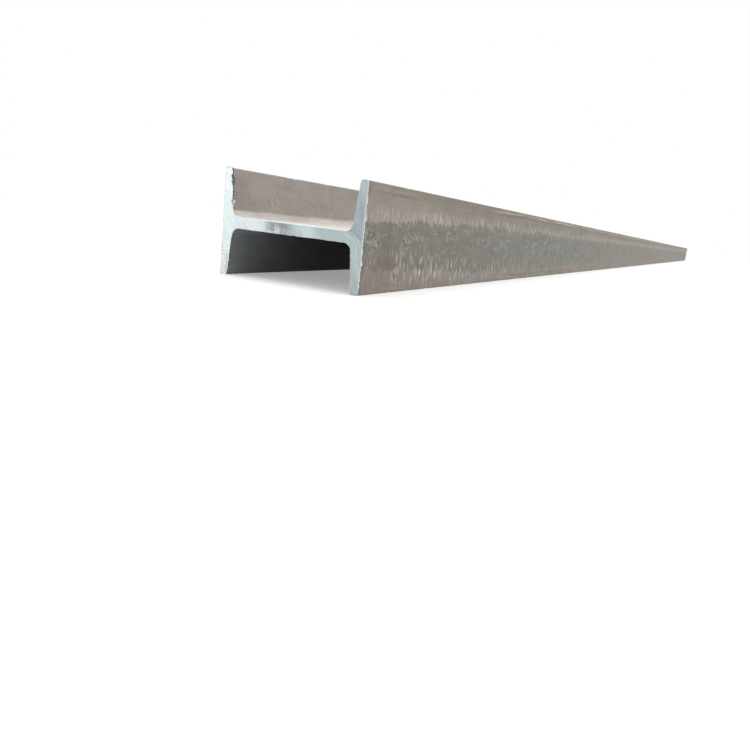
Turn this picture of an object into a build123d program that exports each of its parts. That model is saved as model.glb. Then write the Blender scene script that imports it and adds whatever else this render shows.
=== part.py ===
from build123d import *
from math import radians, tan
import os

# Hot-rolled steel I-beam with tapered flanges: one bar of stock, sawn square at both ends.
# It lies with its web level and rests on the lower toes of its two flanges.
# X runs along the bar, Y across the depth of the section, and Z is up.
# The origin is the middle of the rectangle on which the beam rests.

# Driving dimensions, in millimetres and degrees
length = 6000.0
depth = 150.0  # over the outer faces of the two flanges
flange_width = 100.0
web_thickness = 10.0
flange_thickness = 9.5  # halfway between web and toe, where a tapered flange is measured
flange_taper = 5.5  # lean of a flange's inner faces from its outer face
root_radius = 7.5  # hollow where the web runs into a flange
toe_radius = 3.0  # inner corner of a flange's toe
edge_radius = 1.5  # outer corner of a flange's toe


def quarter_corners():
    """Corners of a quarter of the section, from the outer edge to the web, each with its radius."""
    overhang = (flange_width - web_thickness) / 2
    taper_share = tan(radians(flange_taper)) * overhang / 2
    toe_thickness = flange_thickness - taper_share
    root_thickness = flange_thickness + taper_share
    return [
        (depth / 2, flange_width / 2, edge_radius),
        (depth / 2 - toe_thickness, flange_width / 2, toe_radius),
        (depth / 2 - root_thickness, web_thickness / 2, root_radius),
    ]


def section_outline():
    """Whole outline of the section: the quarter turned over into each corner in turn."""
    quarter = quarter_corners()
    corners = []
    for side, level, order in ((1, 1, 1), (-1, 1, -1), (-1, -1, 1), (1, -1, -1)):
        corners += [(side * y, level * z, radius) for y, z, radius in quarter[::order]]
    points = [(y, z) for y, z, radius in corners]
    radii = [radius for y, z, radius in corners]
    return FilletPolyline(*points, radius=radii, close=True)


def rolled_beam():
    """The section run along the bar, half its length each way, with its lower toes at height zero."""
    mid_length = Plane(origin=(0, 0, flange_width / 2), x_dir=(0, 1, 0), z_dir=(1, 0, 0))
    section = mid_length * make_face(section_outline())
    return extrude(section, amount=length / 2, both=True)


os.makedirs("parts", exist_ok=True)
export_step(rolled_beam(), "parts/rolled_beam.step")
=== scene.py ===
"""Rolled steel I-beam: rolled skin, sawn ends, saw burrs and a studio stage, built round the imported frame."""

import math
from types import SimpleNamespace
from typing import NamedTuple

import bpy
from bpy.props import FloatProperty, FloatVectorProperty, IntProperty, PointerProperty
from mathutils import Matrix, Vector


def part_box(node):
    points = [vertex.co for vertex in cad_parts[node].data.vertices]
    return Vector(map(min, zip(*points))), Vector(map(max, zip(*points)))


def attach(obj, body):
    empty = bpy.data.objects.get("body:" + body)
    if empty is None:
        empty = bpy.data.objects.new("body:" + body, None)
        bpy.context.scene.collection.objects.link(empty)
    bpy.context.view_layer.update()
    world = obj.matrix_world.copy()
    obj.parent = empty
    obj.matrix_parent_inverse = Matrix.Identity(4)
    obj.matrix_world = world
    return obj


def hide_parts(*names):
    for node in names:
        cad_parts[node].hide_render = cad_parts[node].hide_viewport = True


bl_info = {
    "name": "Rolled Steel I-Beam",
    "version": (1, 0, 0),
    "blender": (4, 5, 0),
    "location": "3D View > Sidebar > I-Beam",
    "description": "Builds a hot-rolled I-beam with its mill skin, its sawn ends and a studio stage",
    "category": "Add Mesh",
}

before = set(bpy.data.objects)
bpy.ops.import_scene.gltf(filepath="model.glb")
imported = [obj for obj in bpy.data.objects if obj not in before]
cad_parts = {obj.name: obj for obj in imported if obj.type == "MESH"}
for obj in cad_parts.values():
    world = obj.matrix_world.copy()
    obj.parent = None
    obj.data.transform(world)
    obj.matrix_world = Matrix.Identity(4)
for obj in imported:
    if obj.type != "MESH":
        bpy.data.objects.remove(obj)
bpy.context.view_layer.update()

NODE = "rolled_beam"
BODY = "root"
BAR_LOW, BAR_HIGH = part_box(NODE)
BAR_SIZE = BAR_HIGH - BAR_LOW

MM = 0.001
HALF_WIDTH = BAR_SIZE.z / MM / 2
SECTION_CORNERS = 12
QUARTER_CORNERS = 3
BEAD_CORNERS = 6
END_FACING = 0.9  # how far along the bar a sawn end's normal points at least
FULL_TURN = 6.3  # radians
NOISE_MIDDLE = 0.5
WHITE = (1.0, 1.0, 1.0, 1.0)


def srgb(red, green, blue):
    """Linear colour of an eight-bit screen colour."""
    shares = (channel / 255 for channel in (red, green, blue))
    return tuple(s / 12.92 if s <= 0.04045 else ((s + 0.055) / 1.055) ** 2.4 for s in shares)


def length_property(name, description, millimetres):
    """A length that is written in millimetres and kept in metres."""
    return FloatProperty(
        name=name, description=description, default=millimetres * MM, unit="LENGTH", precision=5
    )


def colour_property(name, description, red, green, blue):
    """A colour that is written as a screen colour and kept linear."""
    return FloatVectorProperty(
        name=name, description=description, default=srgb(red, green, blue), subtype="COLOR", min=0, max=1
    )


def place_property(name, description, place):
    """A place in metres."""
    return FloatVectorProperty(
        name=name, description=description, default=place, subtype="XYZ", unit="LENGTH"
    )


def power_property(name, description, watts):
    """The power of a light."""
    return FloatProperty(name=name, description=description, default=watts, unit="POWER")


class BarSettings(bpy.types.PropertyGroup):
    """Sizes of the rolled section and how finely the bar is meshed."""

    length: length_property("Length", "Length of the bar between its sawn ends", BAR_SIZE.x / MM)
    depth: length_property("Depth", "Depth of the section over both flanges", BAR_SIZE.y / MM)
    flange_width: length_property("Flange Width", "Width of a flange from toe to toe", BAR_SIZE.z / MM)
    web_thickness: length_property("Web Thickness", "Thickness of the web", 10.0)
    flange_thickness: length_property("Flange Thickness", "Thickness of a flange halfway to its toe", 9.5)
    flange_taper: FloatProperty(
        name="Flange Taper",
        description="Lean of a flange's inner faces from its outer face",
        default=math.radians(5.5),
        subtype="ANGLE",
    )
    root_radius: length_property("Root Radius", "Hollow where the web runs into a flange", 7.5)
    toe_radius: length_property("Toe Radius", "Inner corner of a flange's toe", 3.0)
    edge_radius: length_property("Edge Radius", "Outer corner of a flange's toe", 1.5)
    arc_steps: IntProperty(name="Arc Steps", description="Points on each rounded corner", default=8, min=2)
    face_spacing: length_property("Face Spacing", "Width of the strips that flat faces are split into", 5.0)
    rings: IntProperty(
        name="Rings", description="Sections along the bar, closer towards its ends", default=440, min=2
    )
    waviness: length_property("Waviness", "How far the rolled faces sink from true", 0.2)
    nick_depth: length_property("Nick Depth", "How deep the small nicks in the toes are", 0.8)


class SkinSettings(bpy.types.PropertyGroup):
    """Colours of the rolled skin and where its scale band runs."""

    rust: colour_property("Rust", "Thin even rust", 148, 140, 130)
    rust_pink: colour_property("Pink Rust", "Rust where it is fresher", 148, 138, 134)
    rust_olive: colour_property("Olive Rust", "Rust over thicker scale", 140, 137, 120)
    rust_low: colour_property("Low Rust", "Paler rust below the scale band", 155, 146, 141)
    rust_orange: colour_property("Orange Rust", "New rust along edges", 166, 138, 116)
    # Mill scale in the middle of a flange, also painted shade on the low outer faces, beside the toe highlight
    # and on one side of the channel ticks
    dark_scale_and_shade: colour_property("Dark Scale and Shade", "Mill scale in the middle of a flange, also painted shade", 117, 115, 107)
    scale_pale: colour_property("Pale Scale", "Mill scale where it is worn", 132, 130, 122)
    scale_purple: colour_property("Purple Scale", "Mill scale stained by rust", 124, 110, 106)
    streak: colour_property("Streak", "Scraped streaks at the edge of the scale", 204, 194, 184)
    speck: colour_property("Speck", "Small blisters in the scale", 200, 199, 188)
    # Pale deposits near the toes, also the colour of the painted highlight along the toe edges
    cream_and_highlight: colour_property("Cream Spots and Highlight", "Pale deposits near the toes, also painted highlight along them", 184, 177, 156)
    # Pale dust on top of the web, its paleness partly painted sheen
    web_dust_and_sheen: colour_property("Web Dust and Sheen", "Pale dust on top of the web, partly painted sheen", 219, 213, 207)
    web_sand: colour_property("Web Sand", "Sandy stains in the dust", 220, 209, 194)
    # Greyer skin inside the upper channel, lightened as painted light
    inner_grey_and_light: colour_property("Channel Grey and Light", "Greyer skin inside the upper channel", 182, 175, 170)
    end_olive: colour_property("End Olive", "Damp rust beside a sawn end", 112, 112, 96)
    # painted shade on the skin under the web
    under_web_shade: colour_property("Under Web Shade", "Painted shade on the skin under the web", 136, 143, 147)
    # painted shade: the shaded sides of scrapes and blisters, the line along each sawn edge and the deepest
    # shade under the web
    painted_shade: colour_property("Painted Shade", "Shaded side of blisters and of the sawn edge", 78, 82, 83)
    band_top: length_property("Band Top", "Upper edge of the scale band at the ends, above mid flange", 16.0)
    band_bottom: length_property("Band Bottom", "Lower edge of the band at the ends, below mid flange", 28.0)
    band_spread: length_property("Band Spread", "How much further both edges run out away from the ends", 6.0)


class SawnSettings(bpy.types.PropertyGroup):
    """Colours of the sawn ends and sizes of their burrs."""

    # Newly cut steel, also the lit side of the painted reflection across each end
    bright: colour_property("Bright Steel", "Freshly cut steel, partly painted reflection", 211, 222, 222)
    tinted: colour_property("Tinted Steel", "Cut steel with a violet cast", 203, 205, 218)
    dull: colour_property("Dull Steel", "Cut steel that has begun to tarnish", 165, 177, 179)
    second_cut: colour_property("Second Cut", "Corner that the blade met last", 151, 160, 169)
    second_worn: colour_property("Worn Cut", "Top of that corner", 166, 172, 177)
    stain: colour_property("Stain", "Smudge left by the cut", 138, 138, 143)
    # Pale burr: torn bright metal, also painted highlight on the burr; dark burr: its folds, also painted shade
    burr_pale: colour_property("Pale Burr", "Torn bright metal", 230, 233, 230)
    burr_dark: colour_property("Dark Burr", "Folds of the burr, also painted shade", 74, 78, 72)
    burr_radius: length_property("Burr Radius", "Thickness of the burr along the sawn edge", 0.75)
    burr_spacing: length_property("Burr Spacing", "Distance between points along the burr", 0.8)
    flake_size: length_property("Flake Size", "Half the length of the largest torn flakes", 3.4)
    burr_seed: IntProperty(name="Burr Seed", description="Pattern of the burr", default=4)


class StageSettings(bpy.types.PropertyGroup):
    """Floor, light and camera."""

    floor_size: length_property("Floor Size", "Side of the floor", 80000.0)
    floor_colour: colour_property("Floor", "Pale floor", 232, 232, 230)
    floor_glow: FloatProperty(name="Floor Glow", description="Own light of the floor", default=0.3)
    shadow_room: length_property("Shadow Room", "Floor beside the beam that keeps shadows", 600.0)
    shadow_fade: length_property("Shadow Fade", "Width over which the floor turns white", 1200.0)
    sky: FloatProperty(name="Sky", description="Strength of the even light all round", default=0.62, min=0)
    top_power: power_property("Top Power", "Power of the overhead panel", 280.0)
    top_place: place_property("Top Place", "Where the overhead panel hangs", (0.0, 0.0, 5.0))
    top_size: FloatVectorProperty(
        name="Top Size", description="Length and width of the overhead panel", default=(12.0, 6.0), size=2
    )
    key_power: power_property("Key Power", "Power of the front panel", 14.0)
    key_place: place_property("Key Place", "Where the front panel stands", (BAR_LOW.x - 2.3, 2.1, 1.2))
    key_size: FloatVectorProperty(
        name="Key Size", description="Length and width of the front panel", default=(2.0, 2.0), size=2
    )
    camera_place: place_property("Camera Place", "Where the camera stands", (-3.566, -0.3585, 0.0701))
    camera_turn: FloatVectorProperty(
        name="Camera Turn",
        description="How the camera is turned",
        default=(math.radians(77.52), math.radians(-6.34), math.radians(-64.154)),
        subtype="EULER",
    )
    lens: FloatProperty(name="Lens", description="Focal length in millimetres", default=34.36)
    near_clip: length_property("Near Clip", "Nearest distance that the camera sees", 10.0)


class Marks(NamedTuple):
    """One kind of small marks on the rolled skin, with its sizes in millimetres."""

    long: float
    wide: float
    seed: float
    strength: float
    shade_shift: float = 0.0


SCRAPES = (
    Marks(long=7.5, wide=15.0, seed=0.0, strength=0.9, shade_shift=2.7),
    Marks(long=12.0, wide=19.0, seed=3.4, strength=1.0, shade_shift=4.32),
    Marks(long=17.0, wide=30.0, seed=8.5, strength=0.4, shade_shift=6.12),
)
BLISTERS = (
    Marks(long=5.5, wide=4.2, seed=2.5, strength=0.75),
    Marks(long=12.0, wide=6.0, seed=6.5, strength=0.45),
)
TICKS = Marks(long=7.0, wide=11.0, seed=12.5, strength=0.7, shade_shift=2.4)
DEPOSITS = Marks(long=9.0, wide=3.2, seed=9.5, strength=0.9)
UPRIGHT_LEAN = 0.12  # drift of upright marks along the bar for each millimetre of height
FLANGE_SHIFT = 0.37  # slides the cells of marks, so that the two flanges differ

# Heights of the relief in millimetres
GRIT_HEIGHT = 0.06
MOTTLE_HEIGHT = 0.12
ROLLING_HEIGHT = 0.05
BAND_SINK = 0.05
SCRAPE_HEIGHT = 0.15
BLISTER_HEIGHT = 0.2
SAW_LINE_HEIGHT = 0.05
SMEAR_HEIGHT = 0.03
FOLD_HEIGHT = 0.1

# Places on the rolled skin in millimetres
OUTER_START = 2.2  # depth below an outer face at which its finish sets in
OUTER_FULL = 0.8
STAIN_FROM_END = 50.0
STAIN_HEIGHT = -18.0
STAIN_LONG = 25.0
STAIN_WIDE = 15.0

# Places on the sawn section in millimetres, across from mid web and above it
SAW_CENTRE = (260.0, -180.0, 0.0)
ROOT_HOLLOW = (-55.8, -12.5, 0.0)
NUBS = ((-75.0, -22.0), (-61.0, 6.0))
FLAP_HEIGHT = 19.0
FLAP_REACH = 8.0
SECOND_CUT_ACROSS = -0.47  # direction in which the corner that was cut last lies
SECOND_CUT_UP = 0.88
SECOND_CUT_FROM_MIDDLE = 33.4
END_GRAIN = 700.0  # so long that a sawn end shows one layer of the noise
END_LAYER = 500.0

# Seeds of the burr
SEED_STEP = 50.0  # distance in the noise between two seeds
END_SEED = 3.7  # sets the two ends apart
TURN_SEEDS = (1, 2, 3)
GROWTH_SEED = 4


class Wire:
    """An output socket of a node tree. Arithmetic on wires adds nodes to that tree."""

    def __init__(self, graph, socket):
        self.graph = graph
        self.socket = socket

    def sibling(self, name):
        """Another output of the same node."""
        return Wire(self.graph, self.socket.node.outputs[name])

    def smooth(self, low, high):
        """0 below low, 1 above high and a smooth step between."""
        values = {"Value": self, "From Min": low, "From Max": high}
        return self.graph.node("ShaderNodeMapRange", {"interpolation_type": "SMOOTHSTEP"}, values)

    def fade(self, full, gone):
        """1 below full, 0 above gone and a smooth step between."""
        return 1 - self.smooth(full, gone)

    def bell(self, centre, reach):
        """1 at the centre, falling smoothly to 0 at this reach on both sides."""
        return abs(self - centre).fade(0, reach)

    def grain(self, long, wide, seed=0, detail=2, roughness=0.5):
        """Noise on a point in millimetres, its grains this long along the bar and this wide across it."""
        shares = (1 / long, 1 / wide, 1 / wide)
        cells = self.graph.vector_maths("MULTIPLY_ADD", self, shares, (seed, seed, seed))
        return self.graph.noise(cells, detail, roughness)

    def swing(self, amount):
        """The swing of a noise about its middle, this much from its low to its high."""
        return (self - NOISE_MIDDLE) * amount

    def __add__(self, other):
        return self.graph.maths("ADD", self, other)

    __radd__ = __add__

    def __sub__(self, other):
        return self.graph.maths("SUBTRACT", self, other)

    def __rsub__(self, other):
        return self.graph.maths("SUBTRACT", other, self)

    def __mul__(self, other):
        return self.graph.maths("MULTIPLY", self, other)

    __rmul__ = __mul__

    def __truediv__(self, other):
        return self.graph.maths("DIVIDE", self, other)

    def __abs__(self):
        return self.graph.maths("ABSOLUTE", self)


class Graph:
    """Adds nodes to one node tree and links them."""

    def __init__(self, tree):
        self.tree = tree

    def node(self, kind, settings=None, values=None, output=0):
        """Add a node: its settings come first, then the values or wires of its input sockets."""
        made = self.tree.nodes.new(kind)
        for name, value in (settings or {}).items():
            setattr(made, name, value)
        for socket, value in (values or {}).items():
            if isinstance(value, (Wire, list)):
                for wire in value if isinstance(value, list) else [value]:
                    self.tree.links.new(wire.socket, made.inputs[socket])
            else:
                made.inputs[socket].default_value = value
        return Wire(self, made.outputs[output]) if made.outputs else made

    def maths(self, operation, *terms):
        return self.node("ShaderNodeMath", {"operation": operation}, dict(enumerate(terms)))

    def larger(self, first, second):
        return self.maths("MAXIMUM", first, second)

    def vector(self, x, y, z):
        return self.node("ShaderNodeCombineXYZ", values={"X": x, "Y": y, "Z": z})

    def axes(self, vector):
        """The three parts of a vector."""
        return [self.node("ShaderNodeSeparateXYZ", values={"Vector": vector}, output=axis) for axis in "XYZ"]

    def vector_maths(self, operation, *terms):
        return self.node("ShaderNodeVectorMath", {"operation": operation}, dict(enumerate(terms)))

    def scaled(self, vector, factor):
        return self.node("ShaderNodeVectorMath", {"operation": "SCALE"}, {"Vector": vector, "Scale": factor})

    def distance(self, first, second):
        return self.node("ShaderNodeVectorMath", {"operation": "DISTANCE"}, {0: first, 1: second}, "Value")

    def noise(self, vector, detail=2.0, roughness=0.5):
        """Cloudy noise between 0 and 1, with features about one unit of the vector across."""
        values = {"Vector": vector, "Scale": 1.0, "Detail": detail, "Roughness": roughness}
        return self.node("ShaderNodeTexNoise", values=values)

    def strokes(self, place, marks, shift=0.0):
        """Separate small marks on a flange, each of its own strength, slid along the bar by shift."""
        leaning = place.along + place.lean - shift
        up = place.height / marks.wide + place.across * FLANGE_SHIFT
        cell = self.vector(leaning / marks.long + marks.seed, up, 0.0)
        values = {"Vector": cell, "Scale": 1.0, "Randomness": 1.0}
        gap = self.node("ShaderNodeTexVoronoi", {"voronoi_dimensions": "2D"}, values, "Distance")
        strength = self.axes(gap.sibling("Color"))[0]
        shape = (gap + place.chipped).fade(0.2, 0.36)
        return shape * strength.smooth(0.25, 0.65)

    def raised(self, place, marks, where):
        """The lit side and the shaded side of small marks."""
        lit = self.strokes(place, marks)
        shaded = self.strokes(place, marks, marks.shade_shift)
        return lit * where, shaded * where

    def random(self, low, high, seed):
        """A random number for each point of a geometry."""
        return self.node("FunctionNodeRandomValue", values={2: low, 3: high, 8: seed}, output=1)

    def moved(self, geometry, position):
        """A geometry with its points at new places."""
        return self.node("GeometryNodeSetPosition", values={"Geometry": geometry, "Position": position})

    def blend(self, factor, first, second, mode="MIX"):
        """Mix two colours."""
        settings = {"data_type": "RGBA", "blend_type": mode}
        values = {0: factor, 6: opaque(first), 7: opaque(second)}
        return self.node("ShaderNodeMix", settings, values, output=2)

    def coats(self, colour, *layers):
        """Lay colours over a first one, each where its mask says so and as thickly as its amount says."""
        for layer, where, amount in layers:
            colour = self.blend(where * amount, colour, layer)
        return colour

    def toned(self, colour, tone):
        """A colour made lighter or darker by a tone of about one."""
        return self.blend(1.0, colour, self.vector(tone, tone, tone), "MULTIPLY")


def opaque(colour):
    """A colour setting with full alpha; a wire stays as it is."""
    return colour if isinstance(colour, Wire) else (*colour[:3], 1)


def new_material(name):
    """A cleared material, its graph and its place in millimetres: along the bar, across it, above mid web."""
    material = bpy.data.materials.new(name)
    material.use_nodes = True
    material.node_tree.nodes.clear()
    graph = Graph(material.node_tree)
    point = graph.scaled(graph.node("ShaderNodeTexCoord", output="Object"), 1 / MM)
    along, across, up = graph.axes(point)
    place = SimpleNamespace(point=point, along=along, across=across, height=up - HALF_WIDTH)
    return material, graph, place


def surface(graph, values, relief):
    """End a material in a Principled shader with a relief in millimetres."""
    values["Normal"] = graph.node("ShaderNodeBump", values={"Distance": MM, "Height": relief})
    shader = graph.node("ShaderNodeBsdfPrincipled", values=values)
    graph.node("ShaderNodeOutputMaterial", values={"Surface": shader})


def add_skin_zones(bar, skin, place):
    """Add to a place which face it is on, its distance to an end and a toe, and where the scale band ends."""
    point, height = place.point, place.height
    half_depth = bar.depth / MM / 2
    place.from_end = bar.length / MM / 2 - abs(place.along)
    place.from_toe = bar.flange_width / MM / 2 - abs(height)
    place.outer = abs(place.across).smooth(half_depth - OUTER_START, half_depth - OUTER_FULL)
    place.inner = 1 - place.outer
    place.upper = height.smooth(-3, 3)
    edge_wander = point.grain(long=30, wide=12, seed=2.2).swing(3)
    place.web = (abs(height) + edge_wander).fade(9.5, 13) * place.inner
    drift = point.grain(long=24, wide=14, seed=8.1).swing(9)
    jitter = point.grain(long=5, wide=6, seed=1.6).swing(4)
    place.lean = height * UPRIGHT_LEAN + drift + jitter
    place.chipped = point.grain(long=2.6, wide=5, seed=23, detail=3, roughness=0.7).swing(0.5)
    widening = place.from_end.smooth(40, 420) * (skin.band_spread / MM)
    bulge = place.from_end.bell(170, 150)
    place.band_top = widening + skin.band_top / MM + bulge * 3
    place.band_bottom = widening + skin.band_bottom / MM - bulge * 2


def thin_rust(graph, place, skin):
    """Even brown rust with pink and olive clouds, worn near an end and paler below the scale band, with painted
    shade on the low outer faces away from the ends.
    """
    from_end = place.from_end
    cloud = place.point.grain(long=150, wide=34, detail=4, roughness=0.6)
    patch = place.point.grain(long=210, wide=26, seed=7.3, detail=3, roughness=0.55)
    worn = from_end.fade(120, 300) * place.upper * place.outer
    low = place.height.fade(-38, -22) * place.outer
    paler = 0.3 + from_end.smooth(40, 130) * 0.6 - from_end.smooth(300, 800) * 0.7
    # painted shade: the low outer faces darken away from the ends
    painted_low_shade = from_end.smooth(250, 600)
    return graph.coats(
        graph.blend(cloud.smooth(0.4, 0.6), skin.rust, skin.rust_pink),
        (skin.rust_olive, patch.smooth(0.48, 0.66), 0.6),
        (skin.streak, worn, 0.14),
        (skin.rust_low, low, paler),
        (skin.dark_scale_and_shade, low * painted_low_shade, 0.15),
    )


def scale_band(graph, place, skin, colour):
    """Grey mill scale along the middle of each outer face, with paler rims and purple stains."""
    height, point, from_end = place.height, place.point, place.from_end
    spike = point.grain(long=7, wide=40, seed=3.1, detail=4, roughness=0.7)
    tongue = point.grain(long=10, wide=70, seed=21, detail=4, roughness=0.7)
    sway = point.grain(long=110, wide=400, seed=5.7).swing(14)
    above = height - place.band_top + spike.swing(14) + sway
    below = 0 - height - place.band_bottom + tongue.swing(28) + sway
    band = above.fade(-1.1, 0.9) * below.fade(-1.4, 1.4) * place.outer
    band = band * (1 - from_end.smooth(900, 2200) * 0.6)
    rim = above.smooth(-0.5, 0.5) * above.fade(2, 14) * place.outer
    low_rim = below.smooth(-0.5, 0.8) * below.fade(2, 16) * place.outer
    low_rim = low_rim * from_end.smooth(40, 75)

    mottle = point.grain(long=24, wide=12, seed=1.3, detail=5, roughness=0.65)
    tone = graph.blend(mottle.smooth(0.3, 0.7), skin.dark_scale_and_shade, skin.scale_pale)
    stain = point.grain(long=60, wide=22, seed=9.4).smooth(0.58, 0.7) * band
    stain_along = (from_end - STAIN_FROM_END) / STAIN_LONG
    stain_up = (height - STAIN_HEIGHT) / STAIN_WIDE
    from_stain = graph.distance(graph.vector(stain_along, stain_up, 0), (0, 0, 0))
    near_stain = (from_stain + mottle.swing(2.4)).fade(0.5, 1.15) * place.outer
    colour = graph.coats(
        colour,
        (skin.streak, rim, 0.28 - from_end.smooth(60, 250) * 0.1),
        (skin.streak, low_rim, 0.08),
        (tone, band, 0.95),
        (skin.scale_purple, graph.larger(stain * 0.6, near_stain * 0.9), 1),
    )
    return colour, band


def scraped_streaks(graph, place, skin, colour):
    """Upright pale scrapes with painted shade on one side, crowded along both borders of the scale band."""
    from_end = place.from_end
    crowd = place.point.grain(long=60, wide=300, seed=11, detail=3).smooth(0.28, 0.48)
    upper = place.height.bell(place.band_top + 3, 13) * crowd * 0.8
    lower = (0 - place.height).bell(place.band_bottom + 1, 27)
    lower = lower * graph.larger(crowd * 0.9, from_end.bell(120, 150))
    lower = lower * (0.4 + from_end.smooth(40, 75) * 0.6)
    lower = lower * (0.9 - from_end.smooth(200, 600) * 0.45)
    stripes = place.point.grain(long=3, wide=40, seed=13).smooth(0.34, 0.52)
    fringe = graph.larger(upper, lower) * place.outer * (0.3 + stripes * 0.7)
    relief = 0
    for marks in SCRAPES:
        # the copy slid along the bar is painted shade on one side of each scrape
        pale, dark = graph.raised(place, marks, fringe)
        shade = (skin.painted_shade, dark, marks.strength * 0.5)
        colour = graph.coats(colour, shade, (skin.streak, pale, marks.strength))
        relief = relief + (pale - dark) * SCRAPE_HEIGHT
    return colour, relief


def scale_blisters(graph, place, skin, colour, band):
    """Clusters of small wrinkled blisters in the scale band, pale on one side and with painted shade on the
    other.
    """
    cluster = place.point.grain(long=40, wide=15, seed=5, detail=3, roughness=0.6).smooth(0.5, 0.6)
    cluster = cluster * place.height.bell(2, 28) * band
    relief = 0
    for marks in BLISTERS:
        wrinkle = place.point.grain(marks.long, marks.wide, marks.seed, detail=3, roughness=0.6)
        # the dark side of each wrinkle is painted shade
        dark = wrinkle.bell(0.44, 0.05) * cluster
        pale = wrinkle.bell(0.54, 0.05) * cluster
        shade = (skin.painted_shade, dark, marks.strength * 0.6)
        colour = graph.coats(colour, shade, (skin.speck, pale, marks.strength))
        relief = relief + (pale - dark) * BLISTER_HEIGHT
    return colour, relief


def toe_marks(graph, place, skin, colour):
    """Broken lines of painted highlight and painted shade beside each outer edge, strongest along the upper
    toes, with orange rust and pale deposits.
    """
    point, from_end = place.point, place.from_end
    breaks = point.grain(long=170, wide=400, seed=4.4, detail=5, roughness=0.65)
    breaks = breaks + from_end.smooth(60, 350) * 0.1
    sway = point.grain(long=120, wide=300, seed=6, detail=4, roughness=0.65).swing(12)
    swaying = place.from_toe + sway
    shown = place.outer * (0.4 + place.upper * 0.6)
    # painted highlight and painted shade of a rounded toe edge, stronger along the upper toes
    painted_edge_highlight = swaying.bell(4.4, 2.6) * breaks.smooth(0.48, 0.68) * shown
    painted_edge_shade = swaying.bell(7.8, 2.4) * breaks.smooth(0.46, 0.66) * shown
    near_toe = place.from_toe.fade(3, 14)
    orange = point.grain(long=60, wide=60, seed=6.6, detail=4, roughness=0.65)
    deposit = graph.strokes(place, DEPOSITS) * from_end.bell(290, 80)
    return graph.coats(
        colour,
        (skin.cream_and_highlight, painted_edge_highlight, 0.5 + from_end.smooth(250, 500) * 0.5),
        (skin.dark_scale_and_shade, painted_edge_shade, 0.6),
        (skin.rust_orange, near_toe * orange.smooth(0.54, 0.66), 0.55),
        (skin.cream_and_highlight, deposit * near_toe, DEPOSITS.strength),
    )


def channel_marks(graph, place, skin, colour):
    """Greyer skin inside the upper channel, partly painted light, with short upright ticks whose shaded side is
    painted shade, and painted shade under the web that deepens towards the root and away from the ends.
    """
    inner, from_end = place.inner, place.from_end
    away = from_end.smooth(10, 45)
    patch = place.point.grain(long=55, wide=30, seed=12.5).smooth(0.46, 0.56)
    # the shaded side of each tick is painted shade
    pale, dark = graph.raised(place, TICKS, patch * place.height.bell(20, 12) * inner)
    # painted shade under the web, deeper towards the root and further from the ends
    under_web_shade_depth = 0.6 + place.from_toe.smooth(4, 44) * 0.3
    under_web_shade = graph.coats(skin.under_web_shade, (skin.painted_shade, from_end.smooth(60, 220), 0.4))
    return graph.coats(
        colour,
        # painted light: the skin inside the upper channel is lightened, more so away from the ends
        (skin.inner_grey_and_light, inner * place.upper, 0.4 + away * 0.38),
        (skin.dark_scale_and_shade, dark, 0.5),
        (skin.streak, pale, TICKS.strength),
        (skin.dark_scale_and_shade, place.from_toe.fade(1, 3.5) * inner, 0.4),
        (under_web_shade, inner * (1 - place.upper), under_web_shade_depth),
    )


def web_dust_and_sheen(graph, place, skin, colour):
    """Pale dust with sandy stains on top of the web, its paleness partly painted sheen of the top face."""
    thickness = place.point.grain(long=60, wide=24, seed=2, detail=5, roughness=0.7)
    wiped = place.point.grain(long=420, wide=3.2, seed=8.8, detail=3, roughness=0.6)
    sand = place.point.grain(long=60, wide=25, seed=3.6, detail=3)
    tone = graph.coats(skin.web_dust_and_sheen, (skin.web_sand, sand.smooth(0.5, 0.66), 0.7))
    cover = 0.72 + (thickness + wiped.swing(0.4)).smooth(0.34, 0.56) * 0.28
    return graph.coats(colour, (tone, place.web * place.upper, cover))


def end_rust(graph, place, skin, colour):
    """Olive and orange rust in the last few millimetres before a sawn end, and painted shade along the sawn
    edge.
    """
    wander = place.point.grain(long=12, wide=12, seed=14, detail=3, roughness=0.65).swing(16)
    olive = (place.from_end + wander + place.upper * 4).fade(5, 10) * place.outer
    orange = (place.from_end - wander).fade(0, 3.5) * graph.larger(place.outer, place.upper)
    return graph.coats(
        colour,
        (skin.end_olive, olive, 0.6),
        (skin.rust_orange, orange, 0.4),
        # painted shade along the sawn edge
        (skin.painted_shade, place.from_end.fade(0.3, 2), 0.5),
    )


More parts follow.
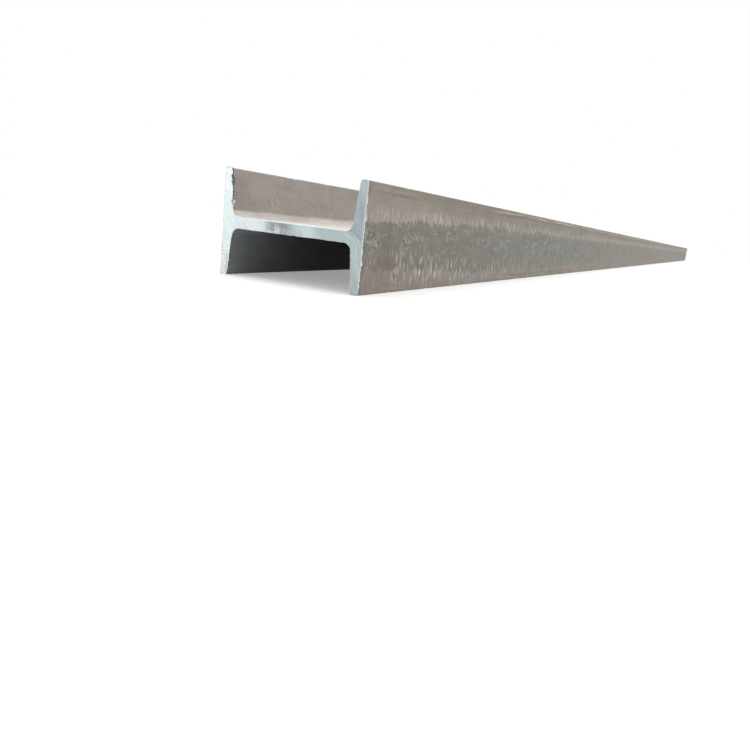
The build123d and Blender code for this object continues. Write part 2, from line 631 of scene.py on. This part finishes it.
def rolled_skin(bar, skin):
    """Thin rust over mill scale: a grey band on each flange, scrapes at its borders, dust with painted sheen on
    the web, and painted light and shade in the channels, along the toes and on the low outer faces.
    """
    material, graph, place = new_material("rolled_skin")
    add_skin_zones(bar, skin, place)
    point = place.point

    colour = thin_rust(graph, place, skin)
    colour, band = scale_band(graph, place, skin, colour)
    colour, scrapes = scraped_streaks(graph, place, skin, colour)
    colour, blisters = scale_blisters(graph, place, skin, colour, band)
    colour = toe_marks(graph, place, skin, colour)
    colour = channel_marks(graph, place, skin, colour)
    colour = web_dust_and_sheen(graph, place, skin, colour)
    colour = end_rust(graph, place, skin, colour)

    blotch = point.grain(long=46, wide=13, seed=15.5, detail=3, roughness=0.55)
    mottle = point.grain(long=16, wide=11, seed=1.9, detail=5, roughness=0.7)
    rolling = point.grain(long=280, wide=2.4, seed=16, detail=3, roughness=0.6)
    grit = point.grain(long=1.2, wide=1.2, seed=17, roughness=0.6)
    cloudy = (blotch.swing(0.45) + mottle.swing(0.4)) * (1 - band * 0.6)
    tone = 1 + cloudy + rolling.swing(0.2) + grit.swing(0.2)
    near_end = place.from_end.fade(250, 800)
    toe_shade = place.from_toe.fade(3, 13) * place.outer * place.upper * near_end
    colour = graph.toned(colour, tone * (1 - toe_shade * 0.12))
    roughness = 0.62 - band * 0.08 + place.web * place.upper * 0.12 + mottle.swing(0.2)
    relief = grit * GRIT_HEIGHT + mottle * MOTTLE_HEIGHT
    relief = relief + rolling * ROLLING_HEIGHT - band * BAND_SINK + scrapes + blisters
    surface(graph, {"Base Color": colour, "Roughness": roughness, "Specular IOR Level": 0.25}, relief)
    return material


def fresh_cut_and_reflection(graph, place, sawn, cloud, foot):
    """Cut steel, bright on one flange, half bright beside mid web and dull on the other flange: partly newly
    cut metal against tarnish, partly painted reflection falling off across the end.
    """
    # painted reflection: the end brightens from one flange across to the other, over newly cut metal against
    # tarnish
    fresh_and_reflection = (place.across + cloud.swing(44)).smooth(4, 46)
    half_fresh_and_reflection = (place.across + cloud.swing(30)).bell(-18, 16)
    tint = place.point.grain(long=END_GRAIN, wide=24, seed=3, detail=3) - place.height / 260
    return graph.coats(
        graph.blend(graph.larger(fresh_and_reflection, half_fresh_and_reflection * 0.45), sawn.dull, sawn.bright),
        (sawn.dull, foot, 0.2),
        (sawn.tinted, tint.smooth(0.46, 0.66) * fresh_and_reflection, 0.8),
    )


def speckled_foot(graph, place, sawn, colour, foot):
    """Pale and dull flecks at the foot of one flange, and a dull streak near its inner edge."""
    fleck = place.point.grain(long=END_GRAIN, wide=1.5, seed=9, roughness=0.6)
    streak = place.across.bell(69 + place.height * 0.02, 1.6)
    return graph.coats(
        colour,
        (sawn.burr_pale, foot * fleck.smooth(0.5, 0.62), 0.9),
        (sawn.dull, foot * fleck.fade(0.38, 0.48), 0.35),
        (sawn.dull, streak * place.height.fade(-32, -24), 0.75),
    )


def second_cut(graph, place, sawn, colour):
    """The greyer corner that the blade met last with its crease, and a mask of that corner."""
    across, height = place.across, place.height
    ragged = place.point.grain(long=END_GRAIN, wide=6, seed=5).swing(3)
    past_line = across * SECOND_CUT_ACROSS + height * SECOND_CUT_UP - SECOND_CUT_FROM_MIDDLE + ragged
    corner = past_line.smooth(-0.5, 0.5) * (1 - (0 - across).smooth(72.4, 73.6) * 0.7)
    tone = graph.blend(height.smooth(22, 44), sawn.second_cut, sawn.second_worn)
    crease = past_line.bell(0, 1.3) * across.fade(-60, -54)
    return graph.coats(colour, (tone, corner, 1), (sawn.stain, crease, 0.6)), corner


def root_arcs(graph, place, sawn, colour, cloud):
    """Two bright arcs round the hollow of one root."""
    from_hollow = graph.distance(place.section, ROOT_HOLLOW)
    arcs = graph.larger(from_hollow.bell(14.5, 1.3), from_hollow.bell(18, 1) * 0.7)
    arcs = arcs * (0 - place.across).smooth(53, 59) * place.height.smooth(-24, -12)
    return graph.coats(colour, (sawn.bright, arcs, 0.15 + cloud * 0.4))


def web_smudge(graph, place, sawn, colour, smear, spot):
    """A spotted smudge on part of the web, and a mask of it."""
    smudge = place.across.smooth(-6, 8) * place.across.fade(20, 31)
    smudge = smudge * (smear + place.height / 30).smooth(0.3, 0.52)
    amount = 0.5 + spot.smooth(0.42, 0.6) * 0.5
    return graph.coats(colour, (sawn.stain, smudge, amount)), smudge


def sawn_steel(sawn):
    """Bright cut steel with the lines of the saw, flecks, a corner cut last, arcs at a root and a smudge."""
    material, graph, place = new_material("sawn_steel")
    point, across, height = place.point, place.across, place.height
    place.section = graph.vector(across, height, 0)
    cloud = point.grain(long=END_GRAIN, wide=20, detail=4, roughness=0.6)
    smear = point.grain(long=END_GRAIN, wide=5, seed=1, detail=4, roughness=0.65)
    spot = point.grain(long=END_GRAIN, wide=1.8, seed=6, detail=3, roughness=0.6)
    foot = across.smooth(62, 68) * height.fade(-24, -8)

    colour = fresh_cut_and_reflection(graph, place, sawn, cloud, foot)
    colour = speckled_foot(graph, place, sawn, colour, foot)
    colour, corner = second_cut(graph, place, sawn, colour)
    colour = root_arcs(graph, place, sawn, colour, cloud)
    colour, smudge = web_smudge(graph, place, sawn, colour, smear, spot)

    from_saw = graph.distance(place.section, SAW_CENTRE)
    layer = place.along / END_LAYER
    lines = graph.noise(graph.vector(from_saw / 2.2, layer, 0), detail=3, roughness=0.7)
    waves = graph.noise(graph.vector(from_saw / 9 + 4, across / 60, layer))
    drag = graph.noise(graph.vector(across / 3, height / 40, layer), detail=3, roughness=0.6)
    tone = 1 + lines.swing(0.3) + waves.swing(0.34) + spot.swing(0.2) + drag.swing(0.5) * corner
    colour = graph.toned(colour, tone)
    roughness = 0.36 + smudge * 0.2 + lines.swing(0.2)
    relief = lines * SAW_LINE_HEIGHT + smear * SMEAR_HEIGHT
    surface(graph, {"Base Color": colour, "Metallic": 0.8, "Roughness": roughness}, relief)
    return material


def burr_steel(sawn):
    """Torn bright metal with dark folds, painted highlight along the top of the web and one flange's outer
    edge, and painted shade along most of one flange's inner edge.
    """
    material, graph, place = new_material("burr_steel")
    across, height = place.across, place.height
    fold = place.point.grain(long=2, wide=2.2, detail=3, roughness=0.6)
    # painted highlight on the burr along the top of the web, under it and along one flange's outer edge
    lit = height.bell(5.5, 3.5) * 0.3 + height.bell(-6, 3) * 0.06
    lit = lit + (0 - across).smooth(70, 73) * 0.3
    inside = across.smooth(58, 62) * across.fade(69, 71)
    flap = height.bell(FLAP_HEIGHT, FLAP_REACH)
    foot = height.fade(-36, -26)
    # painted shade on the burr past the root along one flange's inner edge, lighter in the flap and at the foot
    past_root = abs(height).smooth(10, 14)
    lit = lit + inside * (0.12 - past_root * 0.24 + flap * 0.16 + foot * 0.25)
    colour = graph.blend((fold + lit).smooth(0.42, 0.58), sawn.burr_dark, sawn.burr_pale)
    values = {"Base Color": colour, "Metallic": 0.3, "Roughness": 0.42}
    surface(graph, values, fold * FOLD_HEIGHT)
    return material


def new_geometry_tree(name, sources):
    """A geometry tree with a named input for each setting: its graph, its inputs and their values."""
    tree = bpy.data.node_groups.new(name, "GeometryNodeTree")
    tree.interface.new_socket("Geometry", in_out="OUTPUT", socket_type="NodeSocketGeometry")
    kinds = {"INT": "NodeSocketInt", "FLOAT": "NodeSocketFloat"}
    values = {}
    wanted = []
    for settings, names in sources:
        for setting in names:
            described = settings.bl_rna.properties[setting]
            kind = kinds[described.type]
            socket = tree.interface.new_socket(described.name, in_out="INPUT", socket_type=kind)
            values[socket.identifier] = getattr(settings, setting)
            wanted.append(setting)
    graph = Graph(tree)
    entry = tree.nodes.new("NodeGroupInput")
    wires = {setting: Wire(graph, entry.outputs[place]) for place, setting in enumerate(wanted)}
    return graph, SimpleNamespace(**wires), values


def grown_piece(name, graph, geometry, finishes, values):
    """End a tree in its materials, run it and keep what it makes as a plain mesh object at the origin."""
    made = graph.node("GeometryNodeRealizeInstances", values={"Geometry": geometry})
    for material, selection in finishes:
        finish = {"Geometry": made, "Selection": selection, "Material": material}
        made = graph.node("GeometryNodeSetMaterial", values=finish)
    graph.node("NodeGroupOutput", values={0: made})
    piece = bpy.data.objects.new(name, bpy.data.meshes.new(name))
    bpy.context.scene.collection.objects.link(piece)
    modifier = piece.modifiers.new("grow", "NODES")
    modifier.node_group = graph.tree
    for identifier, value in values.items():
        modifier[identifier] = value
    evaluated = piece.evaluated_get(bpy.context.evaluated_depsgraph_get())
    mesh = bpy.data.meshes.new_from_object(evaluated)
    piece.modifiers.remove(modifier)
    piece.data = mesh
    mesh.name = name
    if not mesh.polygons:
        raise RuntimeError(f"{name} came out empty")
    return piece


SECTION_SETTINGS = (
    "depth",
    "flange_width",
    "web_thickness",
    "flange_thickness",
    "flange_taper",
    "root_radius",
    "toe_radius",
    "edge_radius",
    "arc_steps",
)


def section_outline(graph, size):
    """Closed outline of the section about its own middle, across on X and up on Y, with rounded corners."""
    overhang = (size.flange_width - size.web_thickness) / 2
    taper_share = graph.maths("TANGENT", size.flange_taper) * overhang / 2
    toe_thickness = size.flange_thickness - taper_share
    root_thickness = size.flange_thickness + taper_share

    # Each quarter has an outer edge, a toe and a root, and every second quarter runs the other way round
    index = graph.node("GeometryNodeInputIndex")
    quarter = graph.maths("FLOOR", (index + 0.5) / QUARTER_CORNERS)
    step = index - quarter * QUARTER_CORNERS
    order = step + graph.maths("MODULO", quarter, 2) * (2 - step * 2)
    past_edge = graph.maths("GREATER_THAN", order, 0.5)
    past_toe = graph.maths("GREATER_THAN", order, 1.5)
    side = 1 - graph.maths("LESS_THAN", abs(quarter - 1.5), 1) * 2
    level = 1 - graph.maths("GREATER_THAN", quarter, 1.5) * 2

    across = size.depth / 2 - past_edge * toe_thickness - past_toe * (root_thickness - toe_thickness)
    height = size.flange_width / 2 - past_toe * overhang
    radius = size.edge_radius + past_edge * (size.toe_radius - size.edge_radius)
    radius = radius + past_toe * (size.root_radius - size.toe_radius)

    corners = graph.node("GeometryNodeCurvePrimitiveCircle", values={"Resolution": SECTION_CORNERS})
    corners = graph.moved(corners, graph.vector(side * across, level * height, 0))
    values = {"Curve": corners, "Count": size.arc_steps, "Radius": radius, "Limit Radius": True}
    return graph.node("GeometryNodeFilletCurve", {"mode": "POLY"}, values)


def with_split_flats(graph, outline, spacing):
    """The outline with its long straight stretches cut into shorter ones."""
    place = graph.node("GeometryNodeInputPosition")
    next_point = {"Point Index": graph.node("GeometryNodeInputIndex"), "Offset": 1}
    following = graph.node("GeometryNodeOffsetPointInCurve", values=next_point, output=1)
    values = {"Value": place, "Index": following}
    next_place = graph.node("GeometryNodeFieldAtIndex", {"data_type": "FLOAT_VECTOR"}, values)
    cuts = graph.maths("FLOOR", graph.distance(place, next_place) / spacing)
    return graph.node("GeometryNodeSubdivideCurve", values={"Curve": outline, "Cuts": cuts})


def bar_piece(bar, skin_material, sawn_material):
    """The section swept along the bar, its rolled faces slightly uneven, its ends filled."""
    shape_settings = SECTION_SETTINGS + ("length", "rings", "face_spacing", "waviness", "nick_depth")
    graph, size, values = new_geometry_tree("rolled_bar", [(bar, shape_settings)])
    outline = with_split_flats(graph, section_outline(graph, size), size.face_spacing)

    line = graph.node("GeometryNodeCurvePrimitiveLine", values={"Start": (-1, 0, 0), "End": (1, 0, 0)})
    line = graph.node("GeometryNodeResampleCurve", {"mode": "COUNT"}, {"Curve": line, "Count": size.rings})
    share = graph.axes(graph.node("GeometryNodeInputPosition"))[0]
    inward = 1 - abs(share)
    along = graph.maths("SIGN", share) * (1 - inward * inward) * size.length / 2
    spine = graph.moved(line, graph.vector(along, 0, size.flange_width / 2))
    sweep = {"Curve": spine, "Profile Curve": outline, "Fill Caps": True}
    swept = graph.node("GeometryNodeCurveToMesh", values=sweep)

    normal = graph.node("GeometryNodeInputNormal")
    point = graph.scaled(graph.node("GeometryNodeInputPosition"), 1 / MM)
    up = graph.axes(point)[2]
    swell = point.grain(long=45, wide=25)
    toe = abs(up - HALF_WIDTH).smooth(HALF_WIDTH - 4, HALF_WIDTH - 0.5)
    nick = point.grain(long=6, wide=30, seed=2).smooth(0.6, 0.76) * toe
    sink = swell * size.waviness + nick * size.nick_depth
    offset = graph.scaled(graph.vector_maths("MULTIPLY", normal, (0, -1, -1)), sink)
    uneven = graph.node("GeometryNodeSetPosition", values={"Geometry": swept, "Offset": offset})

    facing = abs(graph.axes(normal)[0])
    end_face = graph.node("FunctionNodeCompare", {"operation": "GREATER_THAN"}, {0: facing, 1: END_FACING})
    shaded = graph.node("GeometryNodeSetShadeSmooth", values={"Geometry": uneven})
    flat_ends = {"Geometry": shaded, "Selection": end_face, "Shade Smooth": False}
    shaded = graph.node("GeometryNodeSetShadeSmooth", values=flat_ends)
    finishes = [(skin_material, True), (sawn_material, end_face)]
    return grown_piece("i_beam", graph, shaded, finishes, values)


def lip_thickness(graph, size, spot, across, height):
    """Thickness of the torn lip: ragged, and thicker on top of the web, outside and at two nubs."""
    torn = spot.grain(long=20, wide=20, seed=1.9).smooth(0.36, 0.58)
    ragged = spot.grain(long=2.4, wide=2.4, detail=3, roughness=0.7)
    lip = 0.2 + ragged.smooth(0.4, 0.72) * torn
    on_web = height.bell(5, 2.5) * abs(across).fade(58, 66)
    outside = abs(across).smooth(73.5, 74.5)
    lip = lip + on_web * 1.1 + outside * 0.25
    for nub_across, nub_height in NUBS:
        gap = graph.distance(graph.vector(0, across, height), (0, nub_across, nub_height))
        lip = lip + gap.fade(0.5, 2.6) * 1.4
    return lip * size.burr_radius


def crumpled_flake(graph):
    """A small crumpled lump about one unit in radius."""
    lump = graph.node("GeometryNodeMeshIcoSphere", values={"Radius": 1, "Subdivisions": 2})
    place = graph.node("GeometryNodeInputPosition")
    crumple = place.grain(long=0.9, wide=0.7, seed=2)
    return graph.moved(lump, graph.scaled(place, 0.4 + crumple * 1.2))


def torn_flakes(graph, size, edge, spot, across, height):
    """Flakes on the inner edge of one flange, crowded in a flap above its root, and under the web."""
    past_root = across.smooth(54, 60)
    before_toe = across.fade(68, 69)
    flap = height.bell(FLAP_HEIGHT, FLAP_REACH) * past_root * before_toe
    inside = (past_root * height.smooth(-20, 12) + 0.3) * before_toe
    inside = inside * across.smooth(50, 58) * abs(height).smooth(12, 15)
    under_web = height.bell(-5, 2) * abs(across).fade(50, 58)
    patchy = spot.grain(long=9, wide=9, seed=4).smooth(0.32, 0.5)
    share = graph.larger(graph.larger(inside, under_web * 0.55) * patchy, flap * 0.8)
    chance = graph.random(0, 1, size.burr_seed)
    chosen = graph.node("FunctionNodeCompare", {"operation": "LESS_THAN"}, {0: chance, 1: share})

    turn = graph.vector(*(graph.random(0, FULL_TURN, seed) for seed in TURN_SEEDS))
    large = graph.larger(flap, past_root * height.smooth(12, 24) * 0.75)
    growth = graph.random(0, 1, GROWTH_SEED)
    grown = graph.larger(growth * growth, flap * 0.7)
    length = (0.25 + grown * 0.75) * (0.5 + large * 0.5) * size.flake_size
    values = {"Points": edge, "Selection": chosen, "Instance": crumpled_flake(graph), "Rotation": turn}
    values["Scale"] = graph.vector(length, length * 0.6, length * 0.4)
    return graph.node("GeometryNodeInstanceOnPoints", values=values)


def burr_at_end(graph, size, outline, end):
    """The torn lip round one sawn end and the flakes that hang from it."""
    outline_across, outline_up = graph.axes(graph.node("GeometryNodeInputPosition"))[:2]
    seat = graph.vector(end * size.length / 2, outline_across, outline_up + size.flange_width / 2)
    edge = graph.moved(outline, seat)

    x, y, z = graph.axes(graph.node("GeometryNodeInputPosition"))
    across = y / MM
    height = (z - size.flange_width / 2) / MM
    spot = graph.vector((size.burr_seed + end * END_SEED) * SEED_STEP, across, height)
    lip = lip_thickness(graph, size, spot, across, height)
    edge = graph.moved(edge, graph.vector(x - lip * end, y, graph.larger(z, lip)))
    bead = graph.node("GeometryNodeCurvePrimitiveCircle", values={"Resolution": BEAD_CORNERS, "Radius": 1})
    bead = graph.node("GeometryNodeCurveToMesh", values={"Curve": edge, "Profile Curve": bead, "Scale": lip})
    return bead, torn_flakes(graph, size, edge, spot, across, height)


def burr_piece(bar, sawn, material):
    """A ragged lip of torn metal with loose flakes round both sawn ends."""
    bar_settings = SECTION_SETTINGS + ("length",)
    burr_settings = ("burr_radius", "burr_spacing", "flake_size", "burr_seed")
    graph, size, values = new_geometry_tree("saw_burr", [(bar, bar_settings), (sawn, burr_settings)])
    outline = {"Curve": section_outline(graph, size), "Length": size.burr_spacing}
    outline = graph.node("GeometryNodeResampleCurve", {"mode": "LENGTH"}, outline)
    torn = [made for end in (-1, 1) for made in burr_at_end(graph, size, outline, end)]
    joined = graph.node("GeometryNodeJoinGeometry", values={"Geometry": torn})
    shaded = graph.node("GeometryNodeSetShadeSmooth", values={"Geometry": joined})
    return grown_piece("saw_burr", graph, shaded, [(material, True)], values)


def carried(piece):
    """A piece attached to the bar's body, so that it moves with the bar."""
    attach(piece, BODY)
    return piece


class IBEAM_OT_rolled_bar(bpy.types.Operator):
    """Build the rolled bar with its skin and its sawn ends"""

    bl_idname = "ibeam.rolled_bar"
    bl_label = "Rolled Bar"

    def execute(self, context):
        scene = context.scene
        skin = rolled_skin(scene.ibeam_bar, scene.ibeam_skin)
        piece = carried(bar_piece(scene.ibeam_bar, skin, sawn_steel(scene.ibeam_sawn)))
        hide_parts(NODE)
        return {"FINISHED"}


class IBEAM_OT_saw_burr(bpy.types.Operator):
    """Build the burr that the saw left round both ends"""

    bl_idname = "ibeam.saw_burr"
    bl_label = "Saw Burr"

    def execute(self, context):
        scene = context.scene
        carried(burr_piece(scene.ibeam_bar, scene.ibeam_sawn, burr_steel(scene.ibeam_sawn)))
        return {"FINISHED"}


def background_ray(graph):
    """1 where a ray looks at the background straight, in a reflection or through glass."""
    kinds = ("Camera", "Glossy", "Transmission")
    rays = [graph.node("ShaderNodeLightPath", output=f"Is {kind} Ray") for kind in kinds]
    return graph.larger(graph.larger(rays[0], rays[1]), rays[2])


def floor_material(stage):
    """Pale floor that keeps the beam's shadow and fades into the white background away from it."""
    material, graph, place = new_material("studio_floor")
    seen = background_ray(graph)
    pale = graph.node("ShaderNodeBsdfDiffuse", values={"Color": opaque(stage.floor_colour)})
    glow = graph.node("ShaderNodeEmission", values={"Color": WHITE, "Strength": seen * stage.floor_glow})
    near = graph.node("ShaderNodeAddShader", values={0: pale, 1: glow})
    white = graph.node("ShaderNodeEmission", values={"Color": WHITE})
    side_gap = graph.larger(abs(place.across) * MM - stage.shadow_room, abs(place.along) * MM - BAR_HIGH.x)
    away = side_gap.smooth(0.0, stage.shadow_fade)
    floor = graph.node("ShaderNodeMixShader", values={0: away * seen, 1: near, 2: white})
    graph.node("ShaderNodeOutputMaterial", values={"Surface": floor})
    return material


def studio_world(stage):
    """Even sky light on the beam, and a white background."""
    world = bpy.data.worlds.new("studio")
    bpy.context.scene.world = world
    world.use_nodes = True
    world.node_tree.nodes.clear()
    graph = Graph(world.node_tree)
    strength = background_ray(graph) * (1.0 - stage.sky) + stage.sky
    sky = graph.node("ShaderNodeBackground", values={"Color": WHITE, "Strength": strength})
    graph.node("ShaderNodeOutputWorld", values={"Surface": sky})


def light_panel(name, place, target, size, power):
    """A rectangular soft light at a place, facing a target."""
    data = bpy.data.lights.new(name, "AREA")
    data.shape = "RECTANGLE"
    data.size, data.size_y = size
    data.energy = power
    panel = bpy.data.objects.new(name, data)
    bpy.context.scene.collection.objects.link(panel)
    panel.location = place
    panel.rotation_euler = (Vector(target) - Vector(place)).to_track_quat("-Z", "Y").to_euler()


def studio_floor(stage):
    """A square floor under the beam."""
    half = stage.floor_size / 2
    corners = [(-half, -half, 0), (half, -half, 0), (half, half, 0), (-half, half, 0)]
    mesh = bpy.data.meshes.new("floor")
    mesh.from_pydata(corners, [], [(0, 1, 2, 3)])
    mesh.materials.append(floor_material(stage))
    floor = bpy.data.objects.new("floor", mesh)
    bpy.context.scene.collection.objects.link(floor)


def studio_camera(stage):
    """The camera that sees the near end and the whole outer face of one flange."""
    data = bpy.data.cameras.new("camera")
    data.lens = stage.lens
    data.clip_start = stage.near_clip
    camera = bpy.data.objects.new("camera", data)
    bpy.context.scene.collection.objects.link(camera)
    camera.location = stage.camera_place
    camera.rotation_euler = stage.camera_turn
    bpy.context.scene.camera = camera


class IBEAM_OT_stage(bpy.types.Operator):
    """Build the floor, the light and the camera"""

    bl_idname = "ibeam.stage"
    bl_label = "Stage"

    def execute(self, context):
        stage = context.scene.ibeam_stage
        studio_floor(stage)
        studio_world(stage)
        near_end = (BAR_LOW.x, 0.0, BAR_SIZE.z / 2)
        light_panel("top_panel", stage.top_place, (0.0, 0.0, 0.0), stage.top_size, stage.top_power)
        light_panel("key_panel", stage.key_place, near_end, stage.key_size, stage.key_power)
        studio_camera(stage)
        context.scene.view_settings.view_transform = "Standard"
        return {"FINISHED"}


class IBEAM_PT_sidebar(bpy.types.Panel):
    """Lists the pieces and their settings"""

    bl_idname = "IBEAM_PT_sidebar"
    bl_label = "Rolled I-Beam"
    bl_space_type = "VIEW_3D"
    bl_region_type = "UI"
    bl_category = "I-Beam"

    def draw(self, context):
        scene = context.scene
        for operator, groups in (
            (IBEAM_OT_rolled_bar, (scene.ibeam_bar, scene.ibeam_skin)),
            (IBEAM_OT_saw_burr, (scene.ibeam_sawn,)),
            (IBEAM_OT_stage, (scene.ibeam_stage,)),
        ):
            box = self.layout.box()
            box.operator(operator.bl_idname)
            for settings in groups:
                for name in settings.__annotations__:
                    box.prop(settings, name)


CLASSES = (
    BarSettings,
    SkinSettings,
    SawnSettings,
    StageSettings,
    IBEAM_OT_rolled_bar,
    IBEAM_OT_saw_burr,
    IBEAM_OT_stage,
    IBEAM_PT_sidebar,
)


def register():
    for made in CLASSES:
        bpy.utils.register_class(made)
    bpy.types.Scene.ibeam_bar = PointerProperty(type=BarSettings)
    bpy.types.Scene.ibeam_skin = PointerProperty(type=SkinSettings)
    bpy.types.Scene.ibeam_sawn = PointerProperty(type=SawnSettings)
    bpy.types.Scene.ibeam_stage = PointerProperty(type=StageSettings)


def unregister():
    del bpy.types.Scene.ibeam_stage
    del bpy.types.Scene.ibeam_sawn
    del bpy.types.Scene.ibeam_skin
    del bpy.types.Scene.ibeam_bar
    for made in reversed(CLASSES):
        bpy.utils.unregister_class(made)


def main():
    register()
    bpy.ops.ibeam.rolled_bar()
    bpy.ops.ibeam.saw_burr()
    bpy.ops.ibeam.stage()


if __name__ == "__main__":
    main()
